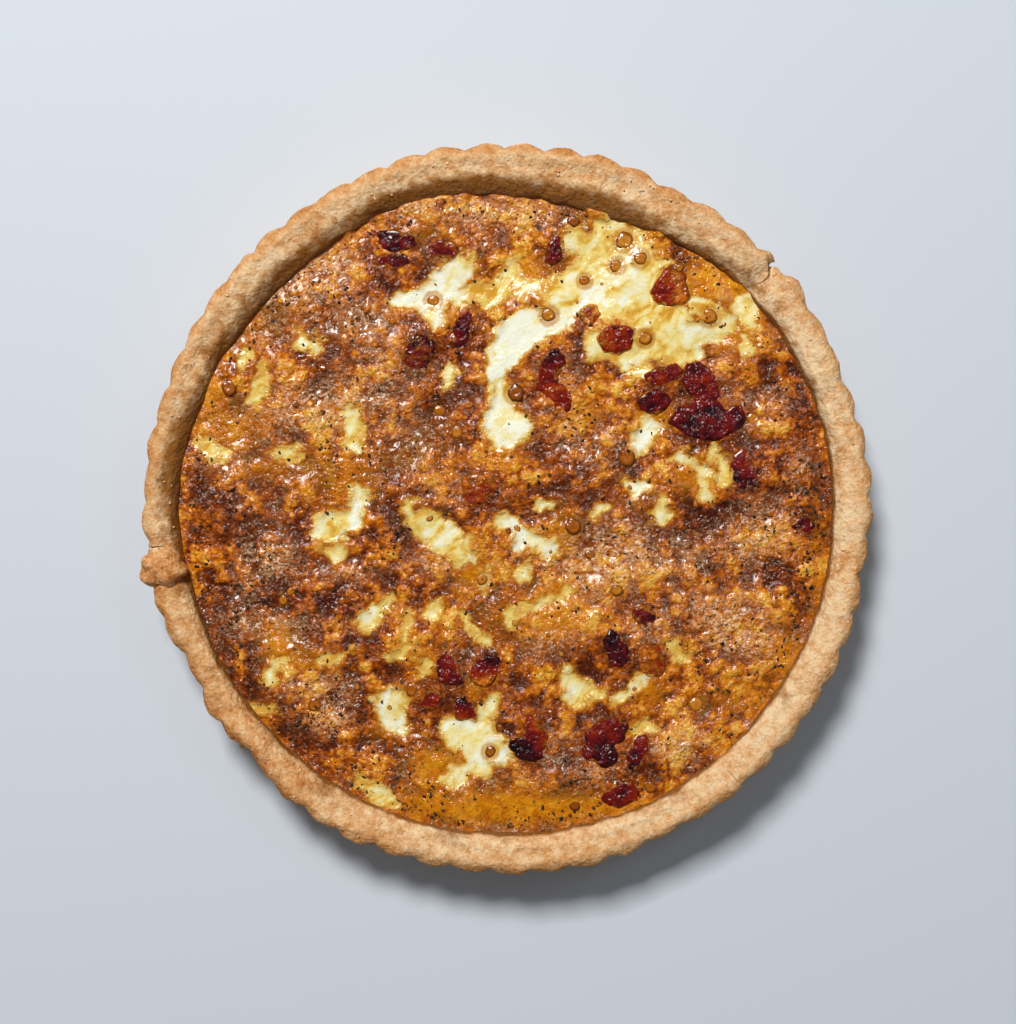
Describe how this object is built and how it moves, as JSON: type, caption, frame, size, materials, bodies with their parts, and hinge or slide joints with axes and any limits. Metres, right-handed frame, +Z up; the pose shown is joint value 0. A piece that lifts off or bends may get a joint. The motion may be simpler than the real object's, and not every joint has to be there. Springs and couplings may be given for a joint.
{
  "type": "quiche",
  "caption": "Round uncut quiche with a fluted pastry crust, browned cheese and egg filling, herb flecks and bacon pieces.",
  "frame": {"origin": "middle of the round crust, on its flat underside", "axes": "+Z up out of the filling, +X to the right and +Y to the top of the picture; the folded flap of dough lies near -X and the open split in the rim between +X and +Y"},
  "size_m": [0.2309, 0.2305, 0.0302],
  "materials": {
    "pastry": "matte, sandy baked shortcrust, paler inside, darker along the outer edge",
    "filling": "glossy, oily browned cheese over set egg, with cream-white patches and dark herb flecks",
    "bacon": "glossy, dark red baked bacon with near-black edges"
  },
  "bodies": {
    "root": {"crust": "pastry", "filling": "filling", "bacon_01": "bacon", "bacon_02": "bacon", "bacon_03": "bacon", "bacon_04": "bacon", "bacon_05": "bacon", "bacon_06": "bacon", "bacon_07": "bacon", "bacon_08": "bacon", "bacon_09": "bacon", "bacon_10": "bacon", "bacon_11": "bacon", "bacon_12": "bacon", "bacon_13": "bacon", "bacon_14": "bacon", "bacon_15": "bacon", "bacon_16": "bacon", "bacon_17": "bacon", "bacon_18": "bacon", "bacon_19": "bacon", "bacon_20": "bacon", "bacon_21": "bacon", "bacon_22": "bacon", "bacon_23": "bacon", "bacon_24": "bacon", "bacon_25": "bacon", "bacon_26": "bacon", "bacon_27": "bacon"}
  },
  "joints": []
}
